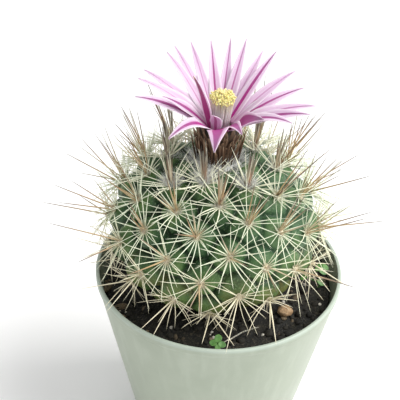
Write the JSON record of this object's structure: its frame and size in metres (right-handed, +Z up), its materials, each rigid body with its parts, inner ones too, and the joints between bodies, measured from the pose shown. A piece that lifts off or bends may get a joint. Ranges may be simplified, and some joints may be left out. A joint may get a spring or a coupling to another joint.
{
  "type": "potted cactus",
  "caption": "Small round spiny cactus with a pink narrow-petalled flower on its crown, growing in dark soil in a tapered pale grey-green nursery pot.",
  "frame": {"origin": "centre of the flat underside of the pot, on the surface it stands on", "axes": "+Z up, out of the pot's mouth, along the plant; -Y the front; +X to the right seen from the front"},
  "size_m": [0.0724, 0.0717, 0.0952],
  "materials": {
    "sage_plastic": "smooth injection-moulded satin",
    "dark_peat": "crumbly damp peat",
    "green_skin": "waxy matte plant skin",
    "straw_spines": "dry straw-coloured spines",
    "white_wool": "matte felt",
    "tube_skin": "scaly brown-green",
    "outer_petal_pink": "silky, striped magenta",
    "inner_petal_lilac": "silky, pale lilac",
    "yellow_anthers": "powdery",
    "pale_style": "matte",
    "seedling_green": "soft leaf",
    "ochre_stone": "dull",
    "pale_root": "dry fibre"
  },
  "bodies": {
    "root": {"pot": "sage_plastic", "soil": "dark_peat", "stem": "green_skin", "crown_wool": "white_wool", "flower_tube": "tube_skin", "stamens": "yellow_anthers", "style": "pale_style", "seedling_front": "seedling_green", "seedling_side": "seedling_green", "pebble": "ochre_stone", "rootlet": "pale_root", "spine_row_01": "straw_spines", "spine_row_02": "straw_spines", "spine_row_03": "straw_spines", "spine_row_04": "straw_spines", "spine_row_05": "straw_spines", "spine_row_06": "straw_spines", "spine_row_07": "straw_spines", "spine_row_08": "straw_spines", "spine_row_09": "straw_spines", "spine_row_10": "straw_spines", "spine_row_11": "straw_spines", "spine_row_12": "straw_spines", "spine_row_13": "straw_spines", "outer_petal_01": "outer_petal_pink", "inner_petal_01": "inner_petal_lilac", "outer_petal_02": "outer_petal_pink", "inner_petal_02": "inner_petal_lilac", "outer_petal_03": "outer_petal_pink", "inner_petal_03": "inner_petal_lilac", "outer_petal_04": "outer_petal_pink", "inner_petal_04": "inner_petal_lilac", "outer_petal_05": "outer_petal_pink", "inner_petal_05": "inner_petal_lilac", "outer_petal_06": "outer_petal_pink", "inner_petal_06": "inner_petal_lilac", "outer_petal_07": "outer_petal_pink", "inner_petal_07": "inner_petal_lilac", "outer_petal_08": "outer_petal_pink", "inner_petal_08": "inner_petal_lilac", "outer_petal_09": "outer_petal_pink", "inner_petal_09": "inner_petal_lilac", "outer_petal_10": "outer_petal_pink", "inner_petal_10": "inner_petal_lilac", "outer_petal_11": "outer_petal_pink", "inner_petal_11": "inner_petal_lilac", "outer_petal_12": "outer_petal_pink", "inner_petal_12": "inner_petal_lilac"}
  },
  "joints": []
}
